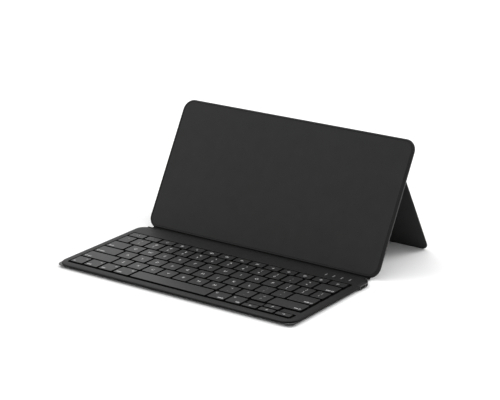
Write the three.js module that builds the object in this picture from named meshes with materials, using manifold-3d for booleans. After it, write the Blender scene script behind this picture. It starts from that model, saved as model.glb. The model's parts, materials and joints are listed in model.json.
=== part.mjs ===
// A folding keyboard case for a slim tablet, in millimetres, +Z up, standing open on a table.
// The keyboard lies flat at the front (-Y), the cover leans back behind it and a hinged
// kickstand props the cover up. The origin is on the table, under the middle of the whole object.

import * as THREE from 'three';
import { mergeVertices } from 'three/addons/utils/BufferGeometryUtils.js';
import Module from 'manifold-3d';

// ---------------------------------------------------------------- driving dimensions

const caseWidth = 250;
const keyPitch = 16.5;        // across one letter key, groove centre to groove centre
const boardUnits = 14.2;      // width of every row, in letter keys
const rowPitch = 15.95;       // from one row of keys to the next
const functionRowDepth = 10.5;
const keyGap = 2;
const keyTopZ = 5;
const deckTopZ = 4.4;
const frontRim = 7.8;         // from the front groove of the keys to the front edge
const deckDepth = 119.3;
const deckCorner = 8.5;

const coverTilt = 60;         // degrees from the table
const coverHeight = 124.5;
const coverDrop = 3.7;        // how far the cover reaches below its own origin line
const coverThickness = 3;
const coverCorner = 10.5;
const coverSetBack = 8.8;     // from the deck's rear edge to the cover's face, at key-top height

const standInset = 4.7;       // the stand is narrower than the cover by this much on each side
const standThickness = 1.8;
const standLength = 91.5;     // from the hinge axis to the foot
const standHinge = 89.2;      // hinge axis, measured up the cover from its origin line
const barrelRadius = 0.85;
const pinRadius = 0.4;
const barrelClearance = 1;    // from a barrel to the plate in front of it

const layerGap = 0.1;         // between the layers of a laminate
const fitGap = 0.3;           // round an inlaid piece
const cornerSteps = 5;        // facets in a rounded corner
const keyCornerSteps = 1;     // a key's small corners are single chamfers

// ---------------------------------------------------------------- derived places

const rad = THREE.MathUtils.degToRad;
const keyboardHalf = boardUnits * keyPitch / 2;
const frontY = -frontRim;
const deckRearY = frontY + deckDepth;
const functionRowY = 5 * rowPitch;
const keysRearY = functionRowY + functionRowDepth;

const coverY = deckRearY + coverSetBack;
const layerBack = coverThickness + layerGap;
const hingeBehindFace = layerBack + standThickness / 2;
const hingeY = coverY + standHinge * Math.cos(rad(coverTilt)) + hingeBehindFace * Math.sin(rad(coverTilt));
const hingeZ = keyTopZ + standHinge * Math.sin(rad(coverTilt)) - hingeBehindFace * Math.cos(rad(coverTilt));
const standReach = standLength - standThickness / 2;
const standSlope = Math.asin((hingeZ - standThickness / 2) / standReach);
const standOpen = Math.PI - rad(coverTilt) - standSlope;
const rearY = hingeY + standReach * Math.cos(standSlope) + standThickness / 2;
const middleY = (frontY + rearY) / 2;

// ---------------------------------------------------------------- materials

function coat(name, color, roughness, metalness = 0) {
  return new THREE.MeshStandardMaterial({ name, color, roughness, metalness });
}

const blackShell = () => coat('case_shell', 0x1b1b1d, 0.6);
const blackDeck = () => coat('deck_skin', 0x2a2a2c, 0.75);
const blackKey = () => coat('key_plastic', 0x303033, 0.6);
const coverSkin = () => coat('cover_skin', 0x2c2c2e, 0.85);
const standSkin = () => coat('stand_skin', 0x161618, 0.85);
const spineSkin = () => coat('spine_fabric', 0x121214, 0.9);
const rubber = () => coat('rubber', 0x0e0e0f, 0.9);
const steel = () => coat('steel', 0x9a9a9c, 0.35, 1);
const greenBoard = () => coat('circuit', 0x12442c, 0.6);
const clearFilm = () => coat('film', 0xb9bdb4, 0.4);
const battery = () => coat('battery_foil', 0x8d9094, 0.4);
const greyBezel = () => coat('port_bezel', 0x4c4c4f, 0.45);
const lightTip = () => coat('light_guide', 0xd9dcdc, 0.35);

// ---------------------------------------------------------------- solids

const wasm = await Module();
wasm.setup();

/** Points round a rectangle centred on the origin; radii are for the -Y and the +Y corners. */
function roundedOutline(width, depth, radii, inset, steps) {
  const corners = [[1, -1, -90], [1, 1, 0], [-1, 1, 90], [-1, -1, 180]];
  const points = [];
  for (const [sideX, sideY, startAngle] of corners) {
    const radius = Math.max(radii[sideY < 0 ? 0 : 1] - inset, 0.1);
    const centreX = sideX * (width / 2 - inset - radius);
    const centreY = sideY * (depth / 2 - inset - radius);
    for (let step = 0; step <= steps; step += 1) {
      const angle = rad(startAngle + 90 * step / steps);
      points.push([centreX + radius * Math.cos(angle), centreY + radius * Math.sin(angle)]);
    }
  }
  return points;
}

/** A rounded plate whose edge follows profile, a list of [inset, z] from the bottom up. */
function slab(width, depth, radii, profile, steps = cornerSteps) {
  const positions = [];
  const count = 4 * (steps + 1);
  for (const [inset, z] of profile) {
    for (const [x, y] of roundedOutline(width, depth, radii, inset, steps)) {
      positions.push(x, y, z);
    }
  }
  const index = [];
  const topStart = (profile.length - 1) * count;
  for (let j = 1; j < count - 1; j += 1) {
    index.push(0, j + 1, j, topStart, topStart + j, topStart + j + 1);
  }
  for (let ring = 0; ring < topStart; ring += count) {
    for (let j = 0; j < count; j += 1) {
      const next = (j + 1) % count;
      const above = ring + count;
      index.push(ring + j, ring + next, above + next, ring + j, above + next, above + j);
    }
  }
  const geometry = new THREE.BufferGeometry();
  geometry.setAttribute('position', new THREE.Float32BufferAttribute(positions, 3));
  geometry.setIndex(index);
  return geometry;
}

function box(x0, x1, y0, y1, z0, z1) {
  const geometry = new THREE.BoxGeometry(x1 - x0, y1 - y0, z1 - z0);
  return geometry.translate((x0 + x1) / 2, (y0 + y1) / 2, (z0 + z1) / 2);
}

function disc(radius, x, y, z0, z1, sides = 20) {
  const geometry = new THREE.CylinderGeometry(radius, radius, z1 - z0, sides);
  return geometry.rotateX(Math.PI / 2).translate(x, y, (z0 + z1) / 2);
}

function rodAlongX(radius, x0, x1, sides = 16) {
  const geometry = new THREE.CylinderGeometry(radius, radius, x1 - x0, sides);
  return geometry.rotateZ(Math.PI / 2).translate((x0 + x1) / 2, 0, 0);
}

function toSolid(geometry) {
  const bare = geometry.clone();
  bare.deleteAttribute('normal');
  bare.deleteAttribute('uv');
  const merged = mergeVertices(bare, 1e-4);
  const vertProperties = new Float32Array(merged.attributes.position.array);
  const triVerts = new Uint32Array(merged.index.array);
  return new wasm.Manifold(new wasm.Mesh({ numProp: 3, vertProperties, triVerts }));
}

function toGeometry(solid) {
  const mesh = solid.getMesh();
  const geometry = new THREE.BufferGeometry();
  geometry.setAttribute('position', new THREE.BufferAttribute(mesh.vertProperties, 3));
  geometry.setIndex(new THREE.BufferAttribute(mesh.triVerts, 1));
  return geometry;
}

function cut(geometry, ...tools) {
  return toGeometry(tools.reduce((rest, tool) => rest.subtract(toSolid(tool)), toSolid(geometry)));
}

function join(geometry, ...others) {
  return toGeometry(others.reduce((whole, other) => whole.add(toSolid(other)), toSolid(geometry)));
}

function addPart(parent, name, geometry, material) {
  geometry.computeVertexNormals();
  const mesh = new THREE.Mesh(geometry, material);
  mesh.name = name;
  parent.add(mesh);
}

// ---------------------------------------------------------------- keyboard

const deckMidY = (frontY + deckRearY) / 2;
const caseFloorZ = 0.7;
const caseFloorTop = 1.35;
const caseRimZ = 2.75;
const deckUnderZ = 2.85;
const caseWall = 3.2;
const deckWall = 2.2;
const keyBottomZ = 3.4;
const arrowSplitY = rowPitch / 2;
const arrowWidth = 1.02 * keyPitch;
const blankBridge = { front: rowPitch - 0.35, rear: rowPitch + 0.15 };
const rearPocketTop = 3.6;
const port = {
  y: 98, z: 2.45, length: 13, height: 3.7, innerX: 121.4, outerX: caseWidth / 2,
  socket: { front: -5.4, rear: 1.6, half: 1.05 },   // along Y from the port's middle, and up or down
  slot: { front: 2.3, rear: 5.3, half: 0.7 },
};

/** A stadium lying in the YZ plane and reaching from x0 to x1. */
function sideStadium(y, z, length, height, x0, x1) {
  const shape = new THREE.Shape();
  const straight = length / 2 - height / 2;
  shape.absarc(straight, 0, height / 2, -Math.PI / 2, Math.PI / 2);
  shape.absarc(-straight, 0, height / 2, Math.PI / 2, 3 * Math.PI / 2);
  const geometry = new THREE.ExtrudeGeometry(shape, { depth: x1 - x0, bevelEnabled: false, curveSegments: 6 });
  return geometry.rotateY(Math.PI / 2).rotateX(Math.PI / 2).translate(x0, y, z);
}

function portNotch() {
  const { y, length, innerX } = port;
  return box(innerX - fitGap, caseWidth, y - length / 2 - fitGap, y + length / 2 + fitGap, 0, 2 * deckTopZ);
}

/** Room behind the port's collar for the socket's metal can. */
function portBay(z0, z1) {
  const { y, innerX } = port;
  return box(innerX - 6.5, innerX, y - 6, y + 6, z0, z1);
}

/** An open tray whose underside slopes away from a thin rounded edge. */
function lowerCase() {
  const shell = slab(caseWidth, deckDepth, [deckCorner, deckCorner], [
    [5.6, caseFloorZ], [2.6, 1.5], [0.9, 2.05], [0.2, 2.4], [0, 2.6], [0, caseRimZ],
  ]).translate(0, deckMidY, 0);
  const innerWidth = caseWidth - 2 * caseWall;
  const innerDepth = deckDepth - 2 * caseWall;
  const innerCorner = deckCorner - caseWall;
  const hollow = slab(innerWidth, innerDepth, [innerCorner, innerCorner], [
    [1.8, caseFloorTop], [0, 1.95], [0, deckTopZ],
  ]).translate(0, deckMidY, 0);
  return cut(shell, hollow, portBay(caseFloorTop, deckTopZ), portNotch());
}

/** The well that the keys stand in, with the blank deck left behind the two half-height arrows. */
function keyWell() {
  const half = keyGap / 2;
  const edge = keyboardHalf + half;
  const rightBlank = keyboardHalf - keyPitch + half;
  const upLeft = keyboardHalf - keyPitch - arrowWidth;
  const blankFront = arrowSplitY + half;
  const outline = [
    [-edge, -half], [edge, -half], [edge, blankFront], [rightBlank, blankFront],
    [rightBlank, blankBridge.front], [upLeft - half, blankBridge.front], [upLeft - half, blankFront],
    [upLeft - keyPitch + half, blankFront], [upLeft - keyPitch + half, blankBridge.rear],
    [edge, blankBridge.rear], [edge, keysRearY + half], [-edge, keysRearY + half],
  ];
  const shape = new THREE.Shape(outline.map(([x, y]) => new THREE.Vector2(x, y)));
  const geometry = new THREE.ExtrudeGeometry(shape, { depth: deckTopZ, bevelEnabled: false });
  return geometry.translate(0, 0, deckUnderZ - 1);
}

const statusLights = { x: [86.1, 93.9, 102.1, 110.3], y: 99.6, length: 4, width: 1, plateZ: 3.2, slack: 0.05 };

function statusSlots() {
  const { x, y, length, width, plateZ, slack } = statusLights;
  const halfWidth = width / 2 + slack;
  const halfLength = length / 2 + slack;
  return x.map((at) => box(
    at - halfWidth, at + halfWidth, y - halfLength, y + halfLength, plateZ - 0.2, keyTopZ,
  ));
}

function deckFrame() {
  const skin = slab(caseWidth, deckDepth, [deckCorner, deckCorner], [
    [0, deckUnderZ], [0, 3.7], [0.3, 4.1], [0.9, 4.33], [1.6, deckTopZ],
  ]).translate(0, deckMidY, 0);
  const pocketHalf = caseWidth / 2 - 5;
  const pocketFront = keysRearY + 2.5;
  const pocketRear = deckRearY - deckWall;
  const rearPocket = box(-pocketHalf, pocketHalf, pocketFront, pocketRear, deckUnderZ - 1, rearPocketTop);
  const bay = portBay(deckUnderZ - 1, rearPocketTop + 0.2);
  return cut(skin, keyWell(), rearPocket, bay, portNotch(), ...statusSlots());
}

/** One clear bar under the deck with a tip rising through each slot. */
function lightGuide() {
  const { x, y, length, width, plateZ } = statusLights;
  const tips = x.map((at) => box(
    at - width / 2, at + width / 2, y - length / 2, y + length / 2, plateZ - 0.1, deckTopZ,
  ));
  const bar = box(x[0] - 2, x[x.length - 1] + 2, y - 3, y + 3, plateZ - 0.6, plateZ);
  return join(bar, ...tips);
}

/** The oval collar, flush with the case's side, round the socket and the power switch's slot. */
function portBezel() {
  const { y, z, length, height, innerX, outerX, socket, slot } = port;
  const boss = sideStadium(y, z, length, height, innerX, outerX);
  const openings = [socket, slot].map(({ front, rear, half }) => box(
    innerX - 1, outerX + 1, y + front, y + rear, z - half, z + half,
  ));
  return cut(boss, ...openings);
}

/** The socket's metal can and its tongue. */
function chargingPort() {
  const { y, z, innerX, socket } = port;
  const x0 = innerX - 6;
  const x1 = innerX - fitGap - 0.1;
  const can = box(x0, x1, y + socket.front - 0.1, y + socket.rear + 0.1, z - 0.95, z + 1.1);
  const mouth = box(x0 + 1, x1 + 1, y + socket.front + 0.2, y + socket.rear - 0.2, z - 0.65, z + 0.8);
  const tongue = box(x0 + 0.5, x1 - 1, y + socket.front + 1.4, y + socket.rear - 1.4, z - 0.1, z + 0.25);
  return join(cut(can, mouth), tongue);
}

/** The switch, drawn at the front end of its slot: knob outside, foot inside, stem between. */
function powerSlider() {
  const { y, z, innerX, outerX, slot } = port;
  const front = y + slot.front;
  const knob = box(outerX - 2, outerX - 0.3, front + 0.2, front + 1.3, z - 0.5, z + 0.5);
  const foot = box(innerX - 1.4, innerX - 0.2, front, front + 1.5, z - 0.55, z + 0.55);
  const stem = box(innerX - 0.3, outerX - 1.9, front + 0.45, front + 1.05, z - 0.3, z + 0.3);
  return join(knob, foot, stem);
}

/** A sheet under the whole key field. */
function underKeys(z0, z1) {
  const reach = keyboardHalf + 2;
  return box(-reach, reach, -frontRim / 5, keysRearY, z0, z1);
}

const boardRearY = deckRearY - 5;
const boardFloor = caseFloorTop + layerGap;

const keyboard = new THREE.Group();
addPart(keyboard, 'lower_case', lowerCase(), blackShell());
addPart(keyboard, 'deck_frame', deckFrame(), blackDeck());
addPart(keyboard, 'key_support_plate', underKeys(1.4, 1.7), steel());
addPart(keyboard, 'membrane_circuit', underKeys(1.75, 1.9), clearFilm());
addPart(keyboard, 'dome_sheet', underKeys(1.95, 2.2), rubber());
addPart(keyboard, 'main_board', box(30, 112, boardRearY - 14, boardRearY, boardFloor, 2.25), greenBoard());
addPart(keyboard, 'battery_cell', box(-100, 20, boardRearY - 13.5, boardRearY, boardFloor, 3.4), battery());
addPart(keyboard, 'status_light_guide', lightGuide(), lightTip());
addPart(keyboard, 'port_bezel', portBezel(), greyBezel());
addPart(keyboard, 'charging_port', chargingPort(), steel());
addPart(keyboard, 'power_slider', powerSlider(), lightTip());

const foot = { length: 14, width: 5, radius: 2.4, top: 0.68, x: 108, front: 4, rear: 103.5 };
const footPlaces = {
  foot_front_left: [-foot.x, foot.front],
  foot_front_right: [foot.x, foot.front],
  foot_rear_left: [-foot.x, foot.rear],
  foot_rear_right: [foot.x, foot.rear],
};
for (const [name, [x, y]] of Object.entries(footPlaces)) {
  const pad = slab(foot.length, foot.width, [foot.radius, foot.radius], [[0.2, 0], [0, 0.2], [0, foot.top]]);
  addPart(keyboard, name, pad.translate(x, y, 0), rubber());
}

// ---------------------------------------------------------------- keys

function keyCap(x0, x1, y0, y1) {
  const inset = keyGap / 2;
  const cap = slab(x1 - x0 - keyGap, y1 - y0 - keyGap, [1.1, 1.1], [
    [0, keyBottomZ], [0, keyTopZ - 0.25], [0.25, keyTopZ],
  ], keyCornerSteps);
  return cap.translate((x0 + x1) / 2, (y0 + y1) / 2, 0);
}

/** Keys of one row, named one by one or, where together is set, joined by a thin web below. */
function addRow(y, depth, runs) {
  let x = -keyboardHalf;
  for (const { name, widths } of runs) {
    const start = x;
    const caps = widths.map((units) => {
      x += units * keyPitch;
      return keyCap(x - units * keyPitch, x, y, y + depth);
    });
    if (caps.length > 1) {
      const webY = y + depth / 2;
      const web = box(start + keyGap, x - keyGap, webY - 2, webY + 2, keyBottomZ, keyBottomZ + 0.4);
      addPart(keyboard, name, join(web, ...caps), blackKey());
    } else {
      addPart(keyboard, name, caps[0], blackKey());
    }
  }
}

const single = (name, units) => ({ name, widths: [units] });
const several = (name, count, ...ends) => ({
  name,
  widths: [...ends.slice(0, 1), ...Array(count).fill(1), ...ends.slice(1)],
});

addRow(0, rowPitch, [
  single('fn_key', 0.93), single('control_key', 1), single('option_left_key', 1),
  single('command_left_key', 1.13), single('space_bar', 5), single('command_right_key', 1.12),
  single('option_right_key', 1),
]);
addRow(rowPitch, rowPitch, [
  single('shift_left_key', 2.06), several('z_row_keys', 10), single('shift_right_key', 2.14),
]);
addRow(2 * rowPitch, rowPitch, [
  single('caps_lock_key', 1.57), several('a_row_keys', 11), single('return_key', 1.63),
]);
addRow(3 * rowPitch, rowPitch, [
  single('tab_key', 1.31), several('q_row_keys', 12), single('backslash_key', 0.89),
]);
addRow(4 * rowPitch, rowPitch, [
  single('grave_key', 0.85), several('number_keys', 12), single('delete_key', 1.35),
]);
addRow(functionRowY, functionRowDepth, [several('function_keys', 12, 1.1, 1.1)]);

const arrowRight = keyboardHalf;
const arrowUpRight = arrowRight - keyPitch;
const arrowUpLeft = arrowUpRight - arrowWidth;
addPart(keyboard, 'arrow_right_key', keyCap(arrowUpRight, arrowRight, 0, arrowSplitY), blackKey());
addPart(keyboard, 'arrow_down_key', keyCap(arrowUpLeft, arrowUpRight, 0, arrowSplitY), blackKey());
addPart(keyboard, 'arrow_up_key', keyCap(arrowUpLeft, arrowUpRight, arrowSplitY, rowPitch), blackKey());
addPart(keyboard, 'arrow_left_key', keyCap(arrowUpLeft - keyPitch, arrowUpLeft, 0, arrowSplitY), blackKey());

// ---------------------------------------------------------------- spine

/** The strip between the deck's rear edge and the cover's lower edge. */
function spine() {
  const halfWidth = 116;
  const thickness = 0.9;
  const startY = deckRearY + 0.2;
  const startZ = deckTopZ - 0.1;
  const endY = coverY - (coverDrop + 0.5) * Math.cos(rad(coverTilt));
  const endZ = keyTopZ - (coverDrop + 0.5) * Math.sin(rad(coverTilt));
  const strip = new THREE.Group();
  strip.position.set(0, startY, startZ);
  strip.rotation.x = Math.atan2(endZ - startZ, endY - startY);
  const length = Math.hypot(endY - startY, endZ - startZ);
  addPart(strip, 'spine_strip', box(-halfWidth, halfWidth, 0.9, length - 0.6, -thickness, 0), spineSkin());
  return strip;
}

// ---------------------------------------------------------------- cover and stand

const coverMid = coverHeight / 2 - coverDrop;
const linerInset = 2;
const linerDepth = 0.5;
const standWidth = caseWidth - 2 * standInset;
const hingeHalf = standThickness / 2;
const leafX = [-78, 78];
const leafLength = 20;
const leafReach = 12;         // from the hinge axis to a leaf's far edge
const leafTop = hingeHalf - 0.1;
const leafUnder = hingeHalf - 0.65;
const magnetRadius = 6;
const magnetPlaces = [[-80, 30], [80, 30], [-80, 92], [80, 92]];

/** A rounded edge for a plate from z0 to z1. */
function bullnose(z0, z1, radius) {
  const profile = [];
  for (const [end, side] of [[z0, -1], [z1, 1]]) {
    const steps = [0, 1, 2, 3].map((step) => {
      const angle = rad(90 * step / 3);
      return [radius * (1 - Math.cos(angle)), end - side * radius * (1 - Math.sin(angle))];
    });
    profile.push(...(side < 0 ? steps.reverse() : steps));
  }
  return profile;
}

/** The stiff board, with a shallow pocket for the liner and one for each magnet. */
function coverCore() {
  const plate = slab(caseWidth, coverHeight, [coverCorner, coverCorner], bullnose(-coverThickness, 0, 1.3));
  const linerPocket = slab(
    caseWidth - 2 * linerInset, coverHeight - 2 * linerInset, [coverCorner - 2, coverCorner - 2],
    [[0, -linerDepth - layerGap], [0, 1]],
  );
  const magnetPockets = magnetPlaces.map(([x, y]) => disc(magnetRadius + fitGap, x, y - coverMid, -2.2, 0));
  return cut(plate, linerPocket, ...magnetPockets).translate(0, coverMid, 0);
}

function coverLiner() {
  const inset = linerInset + fitGap;
  return slab(
    caseWidth - 2 * inset, coverHeight - 2 * inset, [coverCorner - inset, coverCorner - inset],
    [[0, -linerDepth], [0, -0.1], [0.1, 0]],
  ).translate(0, coverMid, 0);
}

function leafPlate(x, side) {
  const y0 = side > 0 ? 2.4 : -leafReach;
  const y1 = side > 0 ? leafReach : -2.4;
  return box(x - leafLength / 2, x + leafLength / 2, y0, y1, leafUnder, leafTop);
}

function leafPocket(x, side) {
  const y0 = side > 0 ? 0 : -leafReach - fitGap;
  const y1 = side > 0 ? leafReach + fitGap : 0;
  const reach = leafLength / 2 + fitGap;
  return box(x - reach, x + reach, y0, y1, leafUnder - fitGap, hingeHalf + 1);
}

/** One leaf: a plate, a barrel on the hinge axis and the bore for the pin. */
function hingeLeaf(x, side) {
  const barrelEnd = side > 0 ? [x - leafLength / 2, x - 0.2] : [x + 0.2, x + leafLength / 2];
  const barrel = rodAlongX(barrelRadius, barrelEnd[0], barrelEnd[1]);
  const neckSpan = side > 0 ? [0.3, 2.6] : [-2.6, -0.3];
  const neck = box(barrelEnd[0], barrelEnd[1], neckSpan[0], neckSpan[1], leafUnder, leafTop);
  const bore = rodAlongX(pinRadius + 0.08, x - leafLength, x + leafLength);
  return cut(join(barrel, neck, leafPlate(x, side)), bore);
}

function upperBackPanel() {
  const bottom = standHinge + barrelRadius + barrelClearance;
  const top = coverHeight - coverDrop - standInset;
  const depth = top - bottom;
  const profile = bullnose(-layerBack - standThickness, -layerBack, 0.8);
  const panel = slab(standWidth, depth, [1, 6.5], profile).translate(0, (top + bottom) / 2, 0);
  const pockets = leafX.map((x) => leafPocket(x, 1).translate(0, standHinge, -hingeBehindFace));
  return cut(panel, ...pockets);
}

/** The stand's board; its outer side takes the inlaid skin, its inner side the hinge leaves. */
function standPlate() {
  const top = -barrelRadius - barrelClearance;
  const depth = standLength + top;
  const profile = bullnose(-hingeHalf, hingeHalf, 0.88);
  const plate = slab(standWidth, depth, [7, 1], profile).translate(0, top - depth / 2, 0);
  const skinPocket = slab(
    standWidth - 4, depth - 4, [5, 0.8], [[0, -2], [0, -hingeHalf + 0.5]],
  ).translate(0, top - depth / 2, 0);
  return cut(plate, skinPocket, ...leafX.map((x) => leafPocket(x, -1)));
}

function standOuterSkin() {
  const top = -barrelRadius - barrelClearance;
  const depth = standLength + top;
  const inset = 2 + fitGap;
  return slab(
    standWidth - 2 * inset, depth - 2 * inset, [4.7, 0.5], [[0, -hingeHalf], [0, -hingeHalf + 0.4]],
  ).translate(0, top - depth / 2, 0);
}

const cover = new THREE.Group();
cover.position.set(0, coverY, keyTopZ);
cover.rotation.x = rad(coverTilt);
addPart(cover, 'cover_core', coverCore(), coverSkin());
addPart(cover, 'cover_liner', coverLiner(), coverSkin());
addPart(cover, 'upper_back_panel', upperBackPanel(), standSkin());
magnetPlaces.forEach(([x, y], order) => {
  addPart(cover, `tablet_magnet_${order + 1}`, disc(magnetRadius, x, y, -2, -0.8), steel());
});

const stand = new THREE.Group();
stand.position.set(0, standHinge, -hingeBehindFace);
stand.rotation.x = standOpen;
addPart(stand, 'kickstand_plate', standPlate(), standSkin());
addPart(stand, 'kickstand_skin', standOuterSkin(), standSkin());

leafX.forEach((x, order) => {
  const side = order === 0 ? 'left' : 'right';
  const fixedLeaf = hingeLeaf(x, 1).translate(0, standHinge, -hingeBehindFace);
  const pin = rodAlongX(pinRadius, x - leafLength / 2, x + leafLength / 2, 12);
  addPart(cover, `hinge_fixed_leaf_${side}`, fixedLeaf, steel());
  addPart(cover, `hinge_pin_${side}`, pin.translate(0, standHinge, -hingeBehindFace), steel());
  addPart(stand, `hinge_moving_leaf_${side}`, hingeLeaf(x, -1), steel());
});
cover.add(stand);

// ---------------------------------------------------------------- the whole object

const group = new THREE.Group();
group.name = 'tablet_keyboard_case';
group.position.set(0, -middleY, 0);
group.add(keyboard, spine(), cover);

export default group;
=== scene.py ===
"""Looks for the tablet keyboard case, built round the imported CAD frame. Lengths are in metres."""

import json
import math

import bmesh
import bpy
from mathutils import Matrix, Vector
from mathutils.geometry import tessellate_polygon


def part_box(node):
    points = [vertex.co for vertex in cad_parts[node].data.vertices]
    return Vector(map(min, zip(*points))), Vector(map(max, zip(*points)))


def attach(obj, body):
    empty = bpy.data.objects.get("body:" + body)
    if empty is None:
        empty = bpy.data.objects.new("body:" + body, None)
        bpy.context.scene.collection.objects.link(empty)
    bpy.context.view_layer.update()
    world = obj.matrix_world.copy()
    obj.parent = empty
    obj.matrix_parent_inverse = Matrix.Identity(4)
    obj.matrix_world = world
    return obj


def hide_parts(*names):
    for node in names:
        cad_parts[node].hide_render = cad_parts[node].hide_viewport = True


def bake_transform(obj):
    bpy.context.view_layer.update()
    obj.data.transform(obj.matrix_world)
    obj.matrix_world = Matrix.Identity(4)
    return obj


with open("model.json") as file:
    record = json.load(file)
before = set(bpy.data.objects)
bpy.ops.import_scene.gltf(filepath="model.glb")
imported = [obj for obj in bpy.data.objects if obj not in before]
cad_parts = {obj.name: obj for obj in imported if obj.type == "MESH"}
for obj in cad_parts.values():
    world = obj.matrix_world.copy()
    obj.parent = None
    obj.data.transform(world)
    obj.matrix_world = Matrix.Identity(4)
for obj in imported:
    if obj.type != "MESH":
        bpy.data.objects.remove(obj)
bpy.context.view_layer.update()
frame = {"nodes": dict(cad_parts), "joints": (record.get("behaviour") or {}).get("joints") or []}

MM = 0.001
CORNER_STEPS = 10
JOINTS = {joint["name"]: joint for joint in frame["joints"]}


# ---------------------------------------------------------------- places taken from the frame

def joint_place(name):
    return Vector(JOINTS[name]["pos_m"])


DECK_LOW, DECK_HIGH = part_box("deck_frame")
CASE_LOW, CASE_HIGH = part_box("lower_case")
KEY_LOW, KEY_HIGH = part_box("space_bar")
PORT_LOW, PORT_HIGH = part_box("port_bezel")
ARROW_LOW, ARROW_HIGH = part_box("arrow_right_key")
SHIFT_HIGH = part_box("shift_right_key")[1]
FUNCTION_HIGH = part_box("function_keys")[1]
LEFT_ARROW_LOW, LEFT_ARROW_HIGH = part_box("arrow_left_key")

CASE_WIDTH = DECK_HIGH.x - DECK_LOW.x
CASE_DEPTH = DECK_HIGH.y - DECK_LOW.y
DECK_MID_Y = (DECK_LOW.y + DECK_HIGH.y) / 2
DECK_TOP = DECK_HIGH.z
KEY_TOP = KEY_HIGH.z
KEY_UNIT = 16.5 * MM
KEY_GAP = 2 * MM

COVER_TILT = math.radians(60)
COVER_HEIGHT = 124.5 * MM
COVER_DROP = 3.7 * MM
COVER_SET_BACK = 8.8 * MM
COVER_THICKNESS = 3 * MM
STAND_THICKNESS = 1.8 * MM
STAND_LENGTH = 91.5 * MM
STAND_INSET = 4.7 * MM
STAND_FOLD = -math.radians(JOINTS["kickstand_hinge"]["range_deg"][0])

COVER_ORIGIN = (0, DECK_HIGH.y + COVER_SET_BACK, KEY_TOP)
COVER_PLACE = Matrix.Translation(COVER_ORIGIN) @ Matrix.Rotation(COVER_TILT, 4, "X")
STAND_TURN = Matrix.Rotation(COVER_TILT + STAND_FOLD, 4, "X")
STAND_PLACE = Matrix.Translation(joint_place("kickstand_hinge")) @ STAND_TURN
HINGE_ON_COVER = COVER_PLACE.inverted() @ joint_place("kickstand_hinge")


# ---------------------------------------------------------------- materials

def node(tree, kind, inputs=None, **settings):
    made = tree.nodes.new(kind)
    for key, value in settings.items():
        setattr(made, key, value)
    for key, value in (inputs or {}).items():
        made.inputs[key].default_value = value
    return made


def grey(value):
    return (value, value, value, 1)


def start_material(name, roughness, metallic=0.0, specular=0.5):
    material = bpy.data.materials.new(name)
    material.use_nodes = True
    tree = material.node_tree
    shader = tree.nodes["Principled BSDF"]
    shader.inputs["Roughness"].default_value = roughness
    shader.inputs["Metallic"].default_value = metallic
    shader.inputs["Specular IOR Level"].default_value = specular
    place = node(tree, "ShaderNodeTexCoord").outputs["Object"]
    return material, tree, shader, place


def tint(tree, shader, factor, dark, light):
    ramp = node(tree, "ShaderNodeMix", data_type="RGBA")
    ramp.inputs[6].default_value = dark
    ramp.inputs[7].default_value = light
    tree.links.new(factor, ramp.inputs[0])
    tree.links.new(ramp.outputs[2], shader.inputs["Base Color"])


def spread(tree, factor, low, high, socket):
    reach = node(tree, "ShaderNodeMapRange", {"To Min": low, "To Max": high})
    tree.links.new(factor, reach.inputs["Value"])
    tree.links.new(reach.outputs["Result"], socket)


def bump(tree, shader, height, depth, strength, below=None):
    made = node(tree, "ShaderNodeBump", {"Strength": strength, "Distance": depth})
    tree.links.new(height, made.inputs["Height"])
    if below:
        tree.links.new(below, made.inputs["Normal"])
    tree.links.new(made.outputs["Normal"], shader.inputs["Normal"])
    return made.outputs["Normal"]


def noise(tree, place, scale, detail=2.0, roughness=0.5):
    made = node(tree, "ShaderNodeTexNoise", {"Scale": scale, "Detail": detail, "Roughness": roughness})
    tree.links.new(place, made.inputs["Vector"])
    return made.outputs["Fac"]


# How fast the painted sheen of a moulded face weakens as its edge rounds away: the specular level follows
# which way the face looks, a painted highlight on faces along the axis and painted shade on rounded and side
# faces.
PAINTED_SHEEN_FALL = 14.0


def moulded_plastic(name, value, roughness, grain_mm=0.35, depth_mm=0.02, specular=0.5, painted_sheen=None):
    """Fine spark-eroded texture with faint handling marks.

    The sheen pair is an axis and the weaker specular level of the faces that don't look along it: a painted
    highlight on faces along the axis, painted shade on the others.
    """
    material, tree, shader, place = start_material(name, roughness, specular=specular)
    broad = noise(tree, place, 22, detail=3)
    tint(tree, shader, broad, grey(value * 0.88), grey(value * 1.12))
    # Painted highlight and shade: the specular level is raised or lowered by the way each face looks, not by
    # any lamp.
    if painted_sheen:
        axis, weaker = painted_sheen
        normal = node(tree, "ShaderNodeSeparateXYZ")
        tree.links.new(tree.nodes["Texture Coordinate"].outputs["Normal"], normal.inputs[0])
        facing = node(tree, "ShaderNodeMath", operation="ABSOLUTE")
        tree.links.new(normal.outputs[axis], facing.inputs[0])
        painted_sheen_mask = node(tree, "ShaderNodeMath", operation="POWER")
        tree.links.new(facing.outputs[0], painted_sheen_mask.inputs[0])
        painted_sheen_mask.inputs[1].default_value = PAINTED_SHEEN_FALL
        spread(tree, painted_sheen_mask.outputs[0], weaker, specular, shader.inputs["Specular IOR Level"])
    smears = noise(tree, place, 60, detail=4, roughness=0.6)
    spread(tree, smears, roughness - 0.07, roughness + 0.07, shader.inputs["Roughness"])
    bump(tree, shader, noise(tree, place, 1 / (grain_mm * MM), detail=2), depth_mm * MM, 0.6)
    return material


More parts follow.
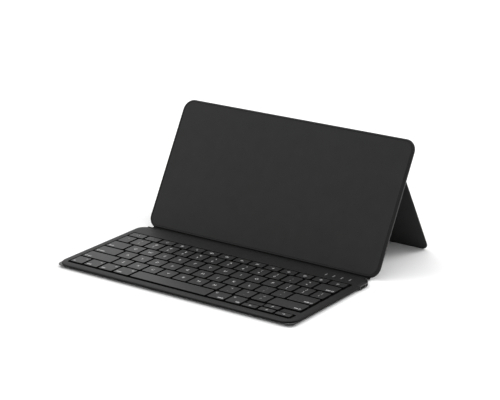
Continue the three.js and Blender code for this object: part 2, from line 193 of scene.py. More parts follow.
def coated_cloth(name, value, roughness, specular):
    """A thin matte coating over a fine leather-like grain."""
    material, tree, shader, place = start_material(name, roughness, specular=specular)
    broad = noise(tree, place, 14, detail=3)
    tint(tree, shader, broad, grey(value * 0.9), grey(value * 1.1))
    cells = node(tree, "ShaderNodeTexVoronoi", {"Scale": 1500.0, "Randomness": 1.0},
                 feature="DISTANCE_TO_EDGE")
    tree.links.new(place, cells.inputs["Vector"])
    pebbles = bump(tree, shader, cells.outputs["Distance"], 0.03 * MM, 0.5)
    grain = noise(tree, place, 3800, detail=2)
    bump(tree, shader, grain, 0.012 * MM, 0.5, below=pebbles)
    wear = noise(tree, place, 90, detail=4)
    spread(tree, wear, roughness - 0.06, roughness + 0.06, shader.inputs["Roughness"])
    shader.inputs["Sheen Weight"].default_value = 0.05
    shader.inputs["Sheen Roughness"].default_value = 0.5
    return material


def woven_cloth(name, value, roughness):
    """A tight plain weave: two crossed sets of threads."""
    material, tree, shader, place = start_material(name, roughness, specular=0.12)
    threads = []
    for direction in ("X", "Y"):
        wave = node(tree, "ShaderNodeTexWave", {"Scale": 450.0, "Distortion": 0.6, "Detail": 1.0},
                    wave_type="BANDS", bands_direction=direction)
        tree.links.new(place, wave.inputs["Vector"])
        threads.append(wave.outputs["Fac"])
    weave = node(tree, "ShaderNodeMath", operation="MULTIPLY")
    tree.links.new(threads[0], weave.inputs[0])
    tree.links.new(threads[1], weave.inputs[1])
    tint(tree, shader, weave.outputs[0], grey(value * 0.7), grey(value * 1.4))
    bump(tree, shader, weave.outputs[0], 0.08 * MM, 0.8)
    shader.inputs["Sheen Weight"].default_value = 0.02
    return material


def soft_rubber(name, value):
    material, tree, shader, place = start_material(name, 0.85, specular=0.3)
    dust = noise(tree, place, 400, detail=5, roughness=0.7)
    tint(tree, shader, dust, grey(value * 0.8), grey(value * 1.3))
    bump(tree, shader, noise(tree, place, 2500), 0.02 * MM, 0.5)
    return material


def brushed_metal(name, value, roughness):
    """Brushing runs along X."""
    material, tree, shader, place = start_material(name, roughness, metallic=1.0)
    stretch = node(tree, "ShaderNodeMapping", {"Scale": (60.0, 4000.0, 4000.0)})
    tree.links.new(place, stretch.inputs["Vector"])
    lines = noise(tree, stretch.outputs["Vector"], 1.0, detail=3)
    tint(tree, shader, lines, grey(value * 0.85), grey(value * 1.1))
    spread(tree, lines, roughness - 0.08, roughness + 0.1, shader.inputs["Roughness"])
    bump(tree, shader, lines, 0.01 * MM, 0.3)
    return material


def printed_ink(name, value):
    material, tree, shader, place = start_material(name, 0.55, specular=0.3)
    tint(tree, shader, noise(tree, place, 3000, detail=2), grey(value * 0.9), grey(value * 1.05))
    bump(tree, shader, noise(tree, place, 5000), 0.005 * MM, 0.4)
    return material


def circuit_board(name):
    material, tree, shader, place = start_material(name, 0.45)
    tracks = node(tree, "ShaderNodeTexBrick", {"Scale": 220.0, "Mortar Size": 0.03})
    tree.links.new(place, tracks.inputs["Vector"])
    tint(tree, shader, tracks.outputs["Fac"], (0.008, 0.06, 0.03, 1), (0.02, 0.14, 0.07, 1))
    bump(tree, shader, tracks.outputs["Fac"], 0.02 * MM, 0.6)
    return material


LOOKS = {
    # Painted shade: the rounded and side faces of the shell and the deck drop to a low specular level, so
    # their edges read darker.
    "shell": moulded_plastic("shell_plastic", 0.005, 0.4, 0.4, 0.02, specular=1.0, painted_sheen=("Z", 0.12)),
    "deck": moulded_plastic("deck_plastic", 0.004, 0.5, 0.3, 0.02, specular=0.26, painted_sheen=("Z", 0.1)),
    # Painted shade: the sides of the key caps get no specular level at all, which darkens the grooves
    # between the keys.
    "key": moulded_plastic("key_cap_plastic", 0.005, 0.42, 0.25, 0.012, specular=0.45, painted_sheen=("Z", 0.0)),
    # Painted highlight: the faces of the cover rim that look along X keep the full specular level, a bright
    # line down the sides of the cover; its other faces are painted darker.
    "rim": moulded_plastic("rim_plastic", 0.004, 0.45, 0.3, 0.012, specular=0.5, painted_sheen=("X", 0.2)),
    "face": coated_cloth("face_cloth", 0.008, 0.7, specular=0.27),
    "back": coated_cloth("back_cloth", 0.009, 0.8, specular=0.3),
    "spine": woven_cloth("spine_weave", 0.004, 0.85),
    "rubber": soft_rubber("foot_rubber", 0.012),
    # Painted shade: the top and the rounded faces of the port collar drop to a low specular level; its
    # outward face keeps the full level.
    "bezel": moulded_plastic("bezel_plastic", 0.02, 0.35, 0.3, 0.01, specular=0.9, painted_sheen=("X", 0.1)),
    "steel": brushed_metal("hinge_steel", 0.1, 0.4),
    "dark_steel": brushed_metal("plate_steel", 0.06, 0.5),
    "socket": brushed_metal("socket_steel", 0.55, 0.3),
    "ink": printed_ink("legend_ink", 0.52),
    "light": printed_ink("light_guide_plastic", 0.16),
    "film": moulded_plastic("circuit_film", 0.05, 0.4),
    "dome": soft_rubber("dome_rubber", 0.006),
    "board": circuit_board("board_mask"),
    "battery": brushed_metal("battery_wrap", 0.3, 0.45),
}


# ---------------------------------------------------------------- mesh making

def arc(centre, radius, start, end, steps):
    """Points round part of a circle or an ellipse; angles in degrees, both ends included."""
    across, along = radius if isinstance(radius, tuple) else (radius, radius)
    turns = [math.radians(start + (end - start) * step / steps) for step in range(steps + 1)]
    return [(centre[0] + across * math.cos(turn), centre[1] + along * math.sin(turn)) for turn in turns]


def rounded_rectangle(width, depth, radii, inset=0.0, centre=(0, 0), steps=CORNER_STEPS):
    """Points round a rectangle; radii are for the -Y and the +Y corners."""
    points = []
    for side_x, side_y, start in ((1, -1, -90), (1, 1, 0), (-1, 1, 90), (-1, -1, 180)):
        radius = max(radii[side_y > 0] - inset, 0.02 * MM)
        corner = (
            centre[0] + side_x * (width / 2 - inset - radius),
            centre[1] + side_y * (depth / 2 - inset - radius),
        )
        points += arc(corner, radius, start, start + 90, steps)
    return points


def rounded_polygon(corners, radius, steps=4):
    """The polygon through corners with each corner rounded."""
    points = []
    count = len(corners)
    for order, corner in enumerate(corners):
        here = Vector(corner)
        back = (Vector(corners[order - 1]) - here).normalized()
        ahead = (Vector(corners[(order + 1) % count]) - here).normalized()
        half = back.angle(ahead) / 2
        middle = here + (back + ahead).normalized() * radius / math.sin(half)
        start = (here + back * radius / math.tan(half) - middle).normalized()
        end = (here + ahead * radius / math.tan(half) - middle).normalized()
        for step in range(steps + 1):
            points.append(tuple(middle + start.slerp(end, step / steps) * radius))
    return points


def edge_profile(low, high, bottom, top, steps=5):
    """[inset, z] pairs up a rounded edge; bottom and top are each (inwards, upwards) radii."""
    support = 0.03 * MM
    below = [(bottom[0] * (1 - math.cos(turn)), low + bottom[1] * (1 - math.sin(turn)))
             for turn in (math.pi / 2 * (1 - step / steps) for step in range(steps + 1))]
    above = [(top[0] * (1 - math.cos(turn)), high - top[1] * (1 - math.sin(turn)))
             for turn in (math.pi / 2 * step / steps for step in range(steps + 1))]
    return [(bottom[0] + support, low), *below, *above, (top[0] + support, high)]


def rounded_loops(width, depth, radii, profile, centre=(0, 0), steps=CORNER_STEPS):
    """One rounded rectangle of (x, y, z) for each [inset, z] pair of the profile."""
    return [
        [(x, y, z) for x, y in rounded_rectangle(width, depth, radii, inset, centre, steps)]
        for inset, z in profile
    ]


def plate(name, outer, holes=(), place=None):
    """A closed solid: outer and each hole are lists of loops of (x, y, z), from the bottom up."""
    corners = []
    faces = []
    starts = []
    for loops in (outer, *holes):
        first = len(corners)
        count = len(loops[0])
        starts.append((first, first + count * (len(loops) - 1), count))
        corners.extend(point for loop in loops for point in loop)
        for ring in range(len(loops) - 1):
            for j in range(count):
                a = first + ring * count + j
                b = first + ring * count + (j + 1) % count
                quad = (a, b, b + count, a + count)
                faces.append(quad if loops is outer else quad[::-1])
    for end, wanted in ((0, -1), (1, 1)):
        rings = [[start[end] + j for j in range(start[2])] for start in starts]
        flat = [index for ring in rings for index in ring]
        for triangle in tessellate_polygon([[Vector(corners[index]) for index in ring] for ring in rings]):
            a, b, c = (flat[index] for index in triangle)
            side = (Vector(corners[b]) - Vector(corners[a])).cross(Vector(corners[c]) - Vector(corners[a])).z
            if side != 0:
                faces.append((a, b, c) if side * wanted > 0 else (a, c, b))
    return new_mesh(name, corners, faces, place)


def new_mesh(name, corners, faces, place=None):
    mesh = bpy.data.meshes.new(name)
    mesh.from_pydata([tuple(corner) for corner in corners], [], faces)
    if place:
        mesh.transform(place)
    mesh.validate()
    mesh.shade_smooth()
    mesh.set_sharp_from_angle(angle=math.radians(38))
    made = bpy.data.objects.new(name, mesh)
    bpy.context.collection.objects.link(made)
    return made


def slab(name, width, depth, radii, profile, centre=(0, 0), holes=(), place=None, steps=CORNER_STEPS):
    return plate(name, rounded_loops(width, depth, radii, profile, centre, steps), holes, place)


def hole(outline, low, high, ease):
    """Loops of a hole through a plate from low to high; outline(grow) gives its points."""
    levels = [(ease, low), (0, low + ease)]
    levels += [(ease * (1 - math.cos(turn)), high - ease * (1 - math.sin(turn)))
               for turn in (math.pi / 8 * step for step in range(5))]
    levels.append((ease + 0.03 * MM, high))
    return [[(x, y, z) for x, y in outline(grow)] for grow, z in levels]


def dress(piece, body, slot_name, look, *nodes):
    """Everything that a finished piece needs: material, body and the nodes it stands for; slot_name is not
    used.
    """
    piece.data.materials.clear()
    piece.data.materials.append(LOOKS[look])
    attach(piece, body)
    if nodes:
        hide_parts(*nodes)


def join_meshes(name, meshes):
    """One object from several meshes, which are used up."""
    whole = bmesh.new()
    for mesh in meshes:
        whole.from_mesh(mesh)
        bpy.data.meshes.remove(mesh)
    joined = bpy.data.meshes.new(name)
    whole.to_mesh(joined)
    whole.free()
    made = bpy.data.objects.new(name, joined)
    bpy.context.collection.objects.link(made)
    return made


# ---------------------------------------------------------------- keyboard body

RIM_ROUND = (5.5 * MM, 0.9 * MM)
DECK_INSET = 0.15 * MM
DECK_CORNER = 12.5 * MM
SHELL_CORNER = 6 * MM
REAR_CORNER = 9.5 * MM
WELL_CORNER = 0.9 * MM
WELL_REAR_ROOM = 0.6 * MM
SHELL_WALL = 3.2 * MM
LIGHT_SLOT_WIDTH = 1.15 * MM
LIGHT_SLOT_LENGTH = 4.15 * MM
LIGHT_SLOT_CORNER = 0.15 * MM
LIGHT_END_MARGIN = 2 * MM
LIGHT_SPACING = (0.0, 0.322, 0.661, 1.0)


def well_outline(grow):
    """The key well, with the blank stretch of deck behind the right arrow key."""
    margin = KEY_GAP + grow
    left, right = -SHIFT_HIGH.x - margin, SHIFT_HIGH.x + margin
    front, rear = KEY_LOW.y - margin, FUNCTION_HIGH.y + margin + WELL_REAR_ROOM
    blank_left = ARROW_LOW.x + grow
    blank_front = ARROW_HIGH.y + margin
    blank_rear = KEY_HIGH.y - grow
    corners = [
        (left, front), (right, front), (right, blank_front), (blank_left, blank_front),
        (blank_left, blank_rear), (right, blank_rear), (right, rear), (left, rear),
    ]
    return rounded_polygon(corners, WELL_CORNER)


def light_slot(centre_x):
    low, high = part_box("status_light_guide")
    centre_y = (low.y + high.y) / 2

    def outline(grow):
        return rounded_rectangle(
            LIGHT_SLOT_WIDTH + 2 * grow, LIGHT_SLOT_LENGTH + 2 * grow, (LIGHT_SLOT_CORNER,) * 2,
            centre=(centre_x, centre_y), steps=3,
        )
    return outline


def status_light_places():
    low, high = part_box("status_light_guide")
    first = low.x + LIGHT_END_MARGIN
    reach = high.x - low.x - 2 * LIGHT_END_MARGIN
    return [first + reach * span for span in LIGHT_SPACING]


def deck_skin():
    low = DECK_LOW.z
    profile = edge_profile(low, DECK_TOP, (0.15 * MM, 0.15 * MM), RIM_ROUND, steps=8)
    ports = [hole(light_slot(x), low, DECK_TOP, 0.08 * MM) for x in status_light_places()]
    well = hole(well_outline, low, DECK_TOP, 0.25 * MM)
    skin = slab("deck_skin", CASE_WIDTH - 2 * DECK_INSET, CASE_DEPTH, (DECK_CORNER, REAR_CORNER), profile,
                centre=(0, DECK_MID_Y), holes=[well, *ports])
    dress(skin, "keyboard", "deck_skin", "deck", "deck_frame")


def arrow_blank():
    """The small blank patch of deck behind the left arrow key."""
    low_y = LEFT_ARROW_HIGH.y + KEY_GAP
    width = LEFT_ARROW_HIGH.x - LEFT_ARROW_LOW.x
    depth = KEY_HIGH.y - low_y
    centre = ((LEFT_ARROW_LOW.x + LEFT_ARROW_HIGH.x) / 2, low_y + depth / 2)
    profile = edge_profile(DECK_LOW.z, DECK_TOP, (0.1 * MM, 0.1 * MM), (0.25 * MM, 0.25 * MM), steps=4)
    patch = slab("deck_patch", width, depth, (WELL_CORNER,) * 2, profile, centre=centre, steps=4)
    dress(patch, "keyboard", "deck_skin", "deck")


def lower_shell():
    """A tray with an underside that slopes away, open at the top for the key stack."""
    low, high = CASE_LOW.z, CASE_HIGH.z
    steps = 9
    flat_edge = Vector((5.6 * MM, low))
    pull = Vector((0.4 * MM, high - 1.3 * MM))
    widest = Vector((0, high - 0.5 * MM))
    curve = []
    for step in range(steps + 1):
        along = step / steps
        curve.append(flat_edge.lerp(pull, along).lerp(pull.lerp(widest, along), along))
    rim = [(0.06 * MM, high - 0.06 * MM), (0.2 * MM, high)]
    inside = [(SHELL_WALL - 0.1 * MM, high), (SHELL_WALL, high - 0.1 * MM), (SHELL_WALL, 1.95 * MM),
              (5 * MM, 1.35 * MM)]
    profile = [(5.9 * MM, low), *curve, *rim, *inside]
    shell = slab("lower_shell", CASE_WIDTH, CASE_DEPTH, (SHELL_CORNER, REAR_CORNER), profile,
                 centre=(0, DECK_MID_Y))
    dress(shell, "keyboard", "case_shell", "shell", "lower_case")


def feet():
    for name in ("foot_front_left", "foot_front_right", "foot_rear_left", "foot_rear_right"):
        low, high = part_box(name)
        width, depth = high.x - low.x, high.y - low.y
        centre = ((low.x + high.x) / 2, (low.y + high.y) / 2)
        profile = edge_profile(low.z, high.z, (0.4 * MM, 0.3 * MM), (0.05 * MM, 0.05 * MM))
        pad = slab(f"{name}_pad", width, depth, (depth / 2, depth / 2), profile, centre=centre, steps=8)
        dress(pad, "keyboard", "rubber", "rubber", name)


# ---------------------------------------------------------------- charging port and power switch

COLLAR_PROUD = 0.4 * MM
SOCKET = {"length": 7 * MM, "height": 2.1 * MM, "corner": 0.8 * MM, "y": -1.9 * MM}
SWITCH_SLOT = {"length": 3 * MM, "height": 1.4 * MM, "corner": 0.65 * MM, "y": 3.8 * MM}


def port_opening(size):
    def outline(grow):
        return rounded_rectangle(size["length"] + 2 * grow, size["height"] + 2 * grow,
                                 (size["corner"],) * 2, centre=(size["y"], 0), steps=5)
    return outline


def port_boss():
    """The oval collar on the right side, drawn flat and then stood up to face +X."""
    length, height = PORT_HIGH.y - PORT_LOW.y, PORT_HIGH.z - PORT_LOW.z
    depth = PORT_HIGH.x - PORT_LOW.x + COLLAR_PROUD
    middle = (PORT_LOW + PORT_HIGH) / 2
    profile = edge_profile(0, depth, (0.1 * MM, 0.1 * MM), (0.5 * MM, 0.5 * MM), steps=6)
    stand_up = Matrix(((0, 0, 1, PORT_LOW.x), (1, 0, 0, middle.y), (0, 1, 0, middle.z), (0, 0, 0, 1)))
    openings = [hole(port_opening(size), 0, depth, 0.18 * MM) for size in (SOCKET, SWITCH_SLOT)]
    boss = slab("port_collar", length, height, (height / 2,) * 2, profile, holes=openings, place=stand_up)
    dress(boss, "keyboard", "port_bezel", "bezel", "port_bezel")


# ---------------------------------------------------------------- keys and their legends

STROKE = 0.38 * MM
INK_THICKNESS = 0.02 * MM
CAP_CORNER = 1.1 * MM
LETTER_SIZE = 4.2 * MM
SIGN_SIZE = 3.4 * MM
FUNCTION_ICON_SIZE = 3 * MM
MARK_SIZE = 2.3 * MM
ARROW_SIZE = 2.2 * MM
DASH_WIDTH = 0.5 * MM
DASH_PITCH = 0.95 * MM

# Icons are drawn as lines in a square from -0.5 to 0.5.
UP_ARROW = [[(0, -0.5), (0, 0.5)], [(-0.35, 0.15), (0, 0.5), (0.35, 0.15)]]
FAT_ARROW = [[(0, 0.5), (0.5, 0), (0.22, 0), (0.22, -0.4), (-0.22, -0.4), (-0.22, 0), (-0.5, 0),
              (0, 0.5)]]
RING = [arc((0, 0), 0.4, 0, 360, 16)]
TRIANGLE = [[(-0.3, -0.4), (-0.3, 0.4), (0.4, 0), (-0.3, -0.4)]]
SQUARE = [[(-0.35, -0.35), (0.35, -0.35), (0.35, 0.35), (-0.35, 0.35), (-0.35, -0.35)]]


def horn(mouth):
    """A loudspeaker's outline with its mouth at x."""
    throat, back = mouth - 0.25, mouth - 0.5
    return [(back, -0.15), (back, 0.15), (throat, 0.15), (mouth, 0.4), (mouth, -0.4), (throat, -0.15),
            (back, -0.15)]


ICONS = {
    "up": UP_ARROW,
    "shift": FAT_ARROW,
    "caps": [*FAT_ARROW, [(-0.22, -0.6), (0.22, -0.6)]],
    "tab": [[(-0.5, 0), (0.35, 0)], [(0.1, 0.25), (0.35, 0), (0.1, -0.25)], [(0.5, -0.35), (0.5, 0.35)]],
    "return": [[(0.5, 0.4), (0.5, -0.1), (-0.4, -0.1)], [(-0.15, 0.15), (-0.4, -0.1), (-0.15, -0.35)]],
    "delete": [[(-0.5, 0), (-0.2, 0.35), (0.5, 0.35), (0.5, -0.35), (-0.2, -0.35), (-0.5, 0)]],
    "caret": [[(-0.35, -0.1), (0, 0.25), (0.35, -0.1)]],
    "diamond": [[(0, -0.4), (0.4, 0), (0, 0.4), (-0.4, 0), (0, -0.4)]],
    "square": SQUARE,
    "ring": RING,
    "globe": [*RING, [(-0.4, 0), (0.4, 0)], [(0, -0.4), (0, 0.4)]],
    "dim": [arc((0, 0), 0.2, 0, 360, 12)],
    "bright": [arc((0, 0), 0.25, 0, 360, 12), [(-0.5, 0), (-0.38, 0)], [(0.38, 0), (0.5, 0)],
               [(0, 0.38), (0, 0.5)], [(0, -0.5), (0, -0.38)]],
    "windows": [SQUARE[0], [(0, -0.35), (0, 0.35)]],
    "search": [arc((-0.08, 0.08), 0.28, 0, 360, 12), [(0.12, -0.12), (0.42, -0.42)]],
    "keys": [[(-0.5, -0.3), (0.5, -0.3), (0.5, 0.3), (-0.5, 0.3), (-0.5, -0.3)], [(-0.2, 0), (0.2, 0)]],
    "play": TRIANGLE,
    "next": [[(-0.5, -0.3), (-0.5, 0.3), (0, 0), (-0.5, -0.3)], [(0, -0.3), (0, 0.3), (0.5, 0), (0, -0.3)]],
    "before": [[(0.5, -0.3), (0.5, 0.3), (0, 0), (0.5, -0.3)], [(0, -0.3), (0, 0.3), (-0.5, 0), (0, -0.3)]],
    "quiet": [horn(0.2)],
    "louder": [horn(0), arc((0, 0), 0.4, -45, 45, 5)],
    "lock": [[(-0.3, -0.4), (0.3, -0.4), (0.3, 0.05), (-0.3, 0.05), (-0.3, -0.4)],
             arc((0, 0.05), 0.2, 0, 180, 6)],
}
FUNCTION_ICONS = ["ring", "dim", "bright", "windows", "search", "keys", "before", "play", "next",
                  "quiet", "louder", "square", "globe", "lock"]
LETTER_ROWS = {
    "z_row_keys": ["Z", "X", "C", "V", "B", "N", "M", "<,", ">.", "?/"],
    "a_row_keys": ["A", "S", "D", "F", "G", "H", "J", "K", "L", ":;", "\"'"],
    "q_row_keys": ["Q", "W", "E", "R", "T", "Y", "U", "I", "O", "P", "{[", "}]"],
    "number_keys": ["!1", "@2", "#3", "$4", "%5", "^6", "&7", "*8", "(9", ")0", "_-", "+="],
}
# Each key: its icon, how many dashes, and its side of the board, -1 for left or 1 for right.
MARKED_KEYS = {
    "tab_key": ("tab", 3, -1),
    "caps_lock_key": ("caps", 6, -1),
    "shift_left_key": ("shift", 4, -1),
    "fn_key": ("globe", 2, -1),
    "control_key": ("caret", 5, -1),
    "option_left_key": ("diamond", 4, -1),
    "command_left_key": ("square", 6, -1),
    "command_right_key": ("square", 6, 1),
    "option_right_key": ("diamond", 4, 1),
    "shift_right_key": ("shift", 4, 1),
    "return_key": ("return", 5, 1),
    "delete_key": ("delete", 5, 1),
}
ARROW_TURNS = {"arrow_up_key": 0, "arrow_left_key": 90, "arrow_down_key": 180, "arrow_right_key": 270}


def bar(corners, faces, start, end, width, z):
    """Adds one thin straight bar of ink."""
    along = (end - start).normalized() * width / 2
    across = Vector((-along.y, along.x))
    a, b = start - along, end + along
    first = len(corners)
    for height in (z, z + INK_THICKNESS):
        corners += [(*point, height) for point in (a + across, a - across, b - across, b + across)]
    for quad in ((3, 2, 1, 0), (4, 5, 6, 7), (0, 1, 5, 4), (1, 2, 6, 5), (2, 3, 7, 6), (3, 0, 4, 7)):
        faces.append(tuple(first + index for index in quad))


def icon(name, centre, size, z, turn=0.0):
    """A line drawing as a mesh of thin bars."""
    corners, faces = [], []
    spin = Matrix.Rotation(math.radians(turn), 2)
    for line in ICONS[name]:
        points = [Vector(centre) + spin @ Vector(point) * size for point in line]
        for start, end in zip(points, points[1:]):
            bar(corners, faces, start, end, STROKE, z)
    mesh = bpy.data.meshes.new(name)
    mesh.from_pydata(corners, [], faces)
    return mesh


def dashes(count, start, side, z):
    """A row of short dashes where a longer marking goes, running inwards from start."""
    corners, faces = [], []
    for order in range(count):
        x = start[0] - side * order * DASH_PITCH
        tall = (0.75 if order % 3 == 1 else 0.5) * MM
        bar(corners, faces, Vector((x, start[1] - tall)), Vector((x, start[1] + tall)), DASH_WIDTH, z)
    mesh = bpy.data.meshes.new("dashes")
    mesh.from_pydata(corners, [], faces)
    return mesh


def lettering(text, centre, size, z):
    """One generic letter, digit or sign as a thin solid."""
    curve = bpy.data.curves.new("lettering", "FONT")
    curve.body = text
    curve.size = size
    curve.align_x = "CENTER"
    curve.align_y = "CENTER"
    curve.extrude = INK_THICKNESS / 2
    curve.resolution_u = 3
    holder = bpy.data.objects.new("lettering", curve)
    bpy.context.collection.objects.link(holder)
    shape = holder.evaluated_get(bpy.context.evaluated_depsgraph_get())
    mesh = bpy.data.meshes.new_from_object(shape)
    mesh.transform(Matrix.Translation((centre[0], centre[1], z + INK_THICKNESS / 2)))
    mesh.materials.clear()
    bpy.data.objects.remove(holder)
    bpy.data.curves.remove(curve)
    return mesh


def key_cap(name, low, high, body, *nodes):
    centre = ((low.x + high.x) / 2, (low.y + high.y) / 2)
    profile = edge_profile(low.z, high.z, (0.05 * MM, 0.05 * MM), (0.3 * MM, 0.28 * MM), steps=4)
    cap = slab(name, high.x - low.x, high.y - low.y, (CAP_CORNER,) * 2, profile, centre=centre,
               steps=5)
    dress(cap, body, "key_plastic", "key", *nodes)


def legend(name, body, meshes):
    dress(join_meshes(name, meshes), body, "light_guide", "ink")


def letter_marks(text, middle, z):
    """A letter in the middle of its key, or two signs one above the other."""
    if len(text) == 1:
        return [lettering(text, (middle.x, middle.y), LETTER_SIZE, z)]
    upper, lower = text
    return [
        lettering(upper, (middle.x, middle.y + 2.7 * MM), SIGN_SIZE, z),
        lettering(lower, (middle.x, middle.y - 2.5 * MM), SIGN_SIZE, z),
    ]


def row_of_keys(node_name, units, marks):
    low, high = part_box(node_name)
    x = low.x
    drawn = []
    for order, (width, mark) in enumerate(zip(units, marks)):
        cap_low = Vector((x, low.y, low.z))
        cap_high = Vector((x + width * KEY_UNIT - KEY_GAP, high.y, high.z))
        stands_for = (node_name,) if order == 0 else ()
        key_cap(f"{node_name}_cap_{order + 1:02d}", cap_low, cap_high, node_name, *stands_for)
        drawn += mark((cap_low + cap_high) / 2, high.z)
        x += width * KEY_UNIT
    legend(f"{node_name}_legends", node_name, drawn)


def marked_key(node_name, mark, dash_count, side):
    """Marks in a key's lower outer corner; a narrow key has its symbol in the upper inner corner."""
    low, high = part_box(node_name)
    key_cap(f"{node_name}_cap", low, high, node_name, node_name)
    outer, inner = (high.x, low.x) if side > 0 else (low.x, high.x)
    line_y = low.y + 2.9 * MM
    if high.x - low.x > 1.3 * KEY_UNIT - KEY_GAP:
        symbol = (outer - side * 2.6 * MM, line_y)
        first_dash = outer - side * 4.8 * MM
    else:
        symbol = (inner + side * 2.8 * MM, high.y - 3.2 * MM)
        first_dash = outer - side * 2.2 * MM
    marks = dashes(dash_count, (first_dash, line_y), side, high.z)
    legend(f"{node_name}_legends", node_name, [marks, icon(mark, symbol, MARK_SIZE, high.z)])


def arrow_key(node_name, turn):
    low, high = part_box(node_name)
    middle = (low + high) / 2
    key_cap(f"{node_name}_cap", low, high, node_name, node_name)
    mark = icon("up", (middle.x, middle.y), ARROW_SIZE, high.z, turn)
    legend(f"{node_name}_legends", node_name, [mark])


def keys():
    for node_name, texts in LETTER_ROWS.items():
        marks = [lambda middle, z, text=text: letter_marks(text, middle, z) for text in texts]
        row_of_keys(node_name, [1] * len(texts), marks)
    marks = [lambda middle, z, name=name: [icon(name, (middle.x, middle.y), FUNCTION_ICON_SIZE, z)]
             for name in FUNCTION_ICONS]
    row_of_keys("function_keys", [1.1, *[1] * 12, 1.1], marks)
    for node_name, (mark, dash_count, side) in MARKED_KEYS.items():
        marked_key(node_name, mark, dash_count, side)
    for node_name, turn in ARROW_TURNS.items():
        arrow_key(node_name, turn)
    for node_name, text in (("grave_key", "~`"), ("backslash_key", "|\\")):
        low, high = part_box(node_name)
        key_cap(f"{node_name}_cap", low, high, node_name, node_name)
        legend(f"{node_name}_legends", node_name, letter_marks(text, (low + high) / 2, high.z))
    key_cap("space_bar_cap", KEY_LOW, KEY_HIGH, "space_bar", "space_bar")


# ---------------------------------------------------------------- cover, kickstand and spine

COVER_MID = COVER_HEIGHT / 2 - COVER_DROP
COVER_CORNER = 10.5 * MM
FACE_INSET = 2 * MM
FACE_SINK = 0.45 * MM
BACK_CORNER = 6.5 * MM
STAND_CORNER = 7 * MM
STAND_SKIN_INSET = 2 * MM
HINGE_ROOM = 1.85 * MM
SPINE_THICKNESS = 0.7 * MM
SPINE_SIDE_GAP = 7 * MM


def cover_board():
    """The cover's stiff board: a rounded dark rim round the inlaid face."""
    profile = edge_profile(-COVER_THICKNESS, 0, (1.4 * MM, 1.3 * MM), (1.5 * MM, 1.5 * MM), steps=7)
    ledge = [(FACE_INSET - 0.2 * MM, 0), (FACE_INSET - 0.05 * MM, -0.04 * MM), (FACE_INSET, -0.15 * MM),
             (FACE_INSET, -FACE_SINK), (FACE_INSET + 0.05 * MM, -FACE_SINK)]
    board = slab("cover_board", CASE_WIDTH, COVER_HEIGHT, (COVER_CORNER,) * 2, [*profile, *ledge],
                 centre=(0, COVER_MID), place=COVER_PLACE)
    dress(board, "cover", "cover_skin", "rim", "cover_core")


def cover_face():
    inset = FACE_INSET + 0.35 * MM
    profile = edge_profile(-0.44 * MM, 0, (0.02 * MM, 0.02 * MM), (0.25 * MM, 0.2 * MM), steps=5)
    face = slab("cover_face", CASE_WIDTH - 2 * inset, COVER_HEIGHT - 2 * inset, (COVER_CORNER - inset,) * 2,
                profile, centre=(0, COVER_MID), place=COVER_PLACE)
    dress(face, "cover", "cover_skin", "face", "cover_liner")


def upper_back():
    low = HINGE_ON_COVER.y + HINGE_ROOM
    high = COVER_HEIGHT - COVER_DROP - STAND_INSET
    back = -COVER_THICKNESS - 0.05 * MM
    profile = edge_profile(back - STAND_THICKNESS, back, (0.8 * MM, 0.8 * MM), (0.2 * MM, 0.2 * MM), steps=6)
    panel = slab("upper_back_skin", CASE_WIDTH - 2 * STAND_INSET, high - low, (1 * MM, BACK_CORNER), profile,
                 centre=(0, (low + high) / 2), place=COVER_PLACE)
    dress(panel, "cover", "stand_skin", "back", "upper_back_panel")


def kickstand():
    """The stand's board and, inlaid in its outer side, its skin."""
    half = STAND_THICKNESS / 2
    top = -HINGE_ROOM
    depth = STAND_LENGTH + top
    width = CASE_WIDTH - 2 * STAND_INSET
    centre = (0, top - depth / 2)
    edge = edge_profile(-half, half, (0.8 * MM, 0.8 * MM), (0.8 * MM, 0.8 * MM), steps=6)[1:]
    inset = STAND_SKIN_INSET
    floor_z = -half + 0.4 * MM
    groove = [(inset + 0.05 * MM, floor_z), (inset, floor_z), (inset, -half + 0.1 * MM),
              (inset - 0.1 * MM, -half)]
    board = slab("kickstand_board", width, depth, (STAND_CORNER, 1 * MM), [*groove, *edge], centre=centre,
                 place=STAND_PLACE)
    dress(board, "kickstand", "stand_skin", "back", "kickstand_plate")
    skin_profile = edge_profile(-half, -half + 0.38 * MM, (0.2 * MM, 0.15 * MM), (0.02 * MM, 0.02 * MM))
    inset += 0.12 * MM
    skin = slab("kickstand_face", width - 2 * inset, depth - 2 * inset, (STAND_CORNER - inset, 0.5 * MM),
                skin_profile, centre=centre, place=STAND_PLACE)
    dress(skin, "kickstand", "stand_skin", "back", "kickstand_skin")


def ribbon(name, path, thickness, half_width):
    """A strip along X whose section follows path, a list of (y, z), with thickness below it."""
    upper = [Vector(point) for point in path]
    lower = []
    for order, point in enumerate(upper):
        ahead = upper[min(order + 1, len(upper) - 1)] - upper[max(order - 1, 0)]
        down = Vector((ahead.y, -ahead.x)).normalized() * thickness
        lower.append(point + (down if down.y < 0 else -down))
    section = upper + lower[::-1]
    count = len(section)
    corners = [(x, *point) for x in (-half_width, half_width) for point in section]
    faces = [(j, (j + 1) % count, count + (j + 1) % count, count + j) for j in range(count)]
    for order in range(len(upper) - 1):
        quad = (order, order + 1, count - 2 - order, count - 1 - order)
        faces.append(quad[::-1])
        faces.append(tuple(count + index for index in quad))
    made = new_mesh(name, corners, faces)
    fix = bmesh.new()
    fix.from_mesh(made.data)
    bmesh.ops.recalc_face_normals(fix, faces=fix.faces)
    fix.to_mesh(made.data)
    fix.free()
    return made


def between(a, b, steps):
    """Points from a to b, both ends included."""
    return [a.lerp(b, step / steps) for step in range(steps + 1)]


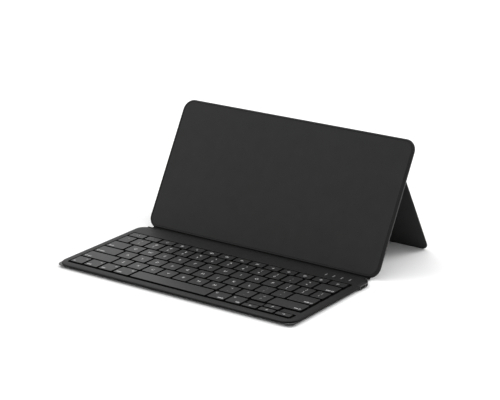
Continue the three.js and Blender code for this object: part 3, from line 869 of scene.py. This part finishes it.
def spine():
    """The woven strip that joins deck and cover, in two halves that each bend over one crease."""
    front = joint_place("spine_fold").yz
    rear = joint_place("cover_recline").yz
    middle = front.lerp(rear, 0.5)
    deck_end = front + Vector((-1.6 * MM, -0.5 * MM))
    cover_up = Vector((math.cos(COVER_TILT), math.sin(COVER_TILT)))
    cover_end = rear + cover_up * 1.3 * MM + Vector((0.8 * MM, -0.4 * MM))
    half_width = CASE_WIDTH / 2 - SPINE_SIDE_GAP
    front_half = ribbon("spine_front_crease", between(deck_end, front, 6) + between(front, middle, 10)[1:],
                        SPINE_THICKNESS, half_width)
    rear_half = ribbon("spine_rear_crease", between(middle, rear, 10) + between(rear, cover_end, 6)[1:],
                       SPINE_THICKNESS, half_width)
    halves = ((front_half, ("keyboard", "spine"), front), (rear_half, ("spine", "cover"), rear))
    for piece, bodies, crease in halves:
        piece.data.materials.append(LOOKS["spine"])
        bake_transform(piece)
    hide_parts("spine_strip")


# ---------------------------------------------------------------- CAD nodes that stay

KEPT_NODES = {
    "key_support_plate": "dark_steel",
    "membrane_circuit": "film",
    "dome_sheet": "dome",
    "main_board": "board",
    "battery_cell": "battery",
    "status_light_guide": "light",
    "charging_port": "socket",
    "power_slider": "light",
    "hinge_fixed_leaf_left": "steel",
    "hinge_fixed_leaf_right": "steel",
    "hinge_moving_leaf_left": "steel",
    "hinge_moving_leaf_right": "steel",
    "hinge_pin_left": "steel",
    "hinge_pin_right": "steel",
    "tablet_magnet_1": "steel",
    "tablet_magnet_2": "steel",
    "tablet_magnet_3": "steel",
    "tablet_magnet_4": "steel",
}


def dress_kept_nodes():
    for name, look in KEPT_NODES.items():
        slots = frame["nodes"][name].data.materials
        slots.clear()
        slots.append(LOOKS[look])


# ---------------------------------------------------------------- floor, light and camera

def floor():
    reach = 4.0
    corners = [(-reach, -reach, 0), (reach, -reach, 0), (reach, reach, 0), (-reach, reach, 0)]
    made = new_mesh("floor", corners, [(0, 1, 2, 3)])
    material, tree, shader, place = start_material("floor_paper", 0.9, specular=0.1)
    tint(tree, shader, noise(tree, place, 6, detail=2), grey(0.86), grey(0.88))
    made.data.materials.append(material)


def softbox(name, place, aim, size, power):
    light = bpy.data.lights.new(name, "AREA")
    light.shape = "DISK"
    light.size = size
    light.energy = power
    made = bpy.data.objects.new(name, light)
    made.location = place
    made.rotation_euler = (Vector(aim) - Vector(place)).to_track_quat("-Z", "Y").to_euler()
    bpy.context.collection.objects.link(made)


def studio():
    world = bpy.data.worlds.new("studio")
    world.use_nodes = True
    sky = world.node_tree.nodes["Background"]
    sky.inputs["Color"].default_value = (1, 1, 1, 1)
    sky.inputs["Strength"].default_value = 1.0
    bpy.context.scene.world = world
    softbox("overhead_left", (-0.8, 0.1, 1.3), (0, 0, 0), 1.2, 7)
    softbox("front_left", (-0.55, -0.35, 0.5), (-0.1, 0.05, 0.05), 0.4, 0.6)
    softbox("rear_right", (0.9, 1.1, 1.1), (0.1, 0.1, 0), 1.0, 12)
    bpy.context.scene.view_settings.view_transform = "Standard"


CAMERA_AZIMUTH = math.radians(36.146)
CAMERA_ELEVATION = math.radians(18.334)
CAMERA_ROLL = math.radians(-0.606)
CAMERA_DISTANCE = 1.6675
CAMERA_TARGET = Vector((-0.0358, 0.0552, 0.0324))
CAMERA_LENS = 132.27


def camera():
    data = bpy.data.cameras.new("camera")
    data.lens = CAMERA_LENS
    data.sensor_width = 36
    data.clip_end = 20
    made = bpy.data.objects.new("camera", data)
    bpy.context.collection.objects.link(made)
    sin_a, cos_a = math.sin(CAMERA_AZIMUTH), math.cos(CAMERA_AZIMUTH)
    sin_e, cos_e = math.sin(CAMERA_ELEVATION), math.cos(CAMERA_ELEVATION)
    back = Vector((sin_a * cos_e, -cos_a * cos_e, sin_e))
    right = Vector((cos_a, sin_a, 0))
    turn = Matrix((right, back.cross(right), back)).transposed()
    roll = Matrix.Rotation(CAMERA_ROLL, 3, "Z")
    made.matrix_world = Matrix.Translation(CAMERA_TARGET + back * CAMERA_DISTANCE) @ (turn @ roll).to_4x4()
    bpy.context.scene.camera = made


# ---------------------------------------------------------------- the scene

camera()
studio()
floor()
deck_skin()
arrow_blank()
lower_shell()
feet()
port_boss()
keys()
cover_board()
cover_face()
upper_back()
kickstand()
spine()
dress_kept_nodes()
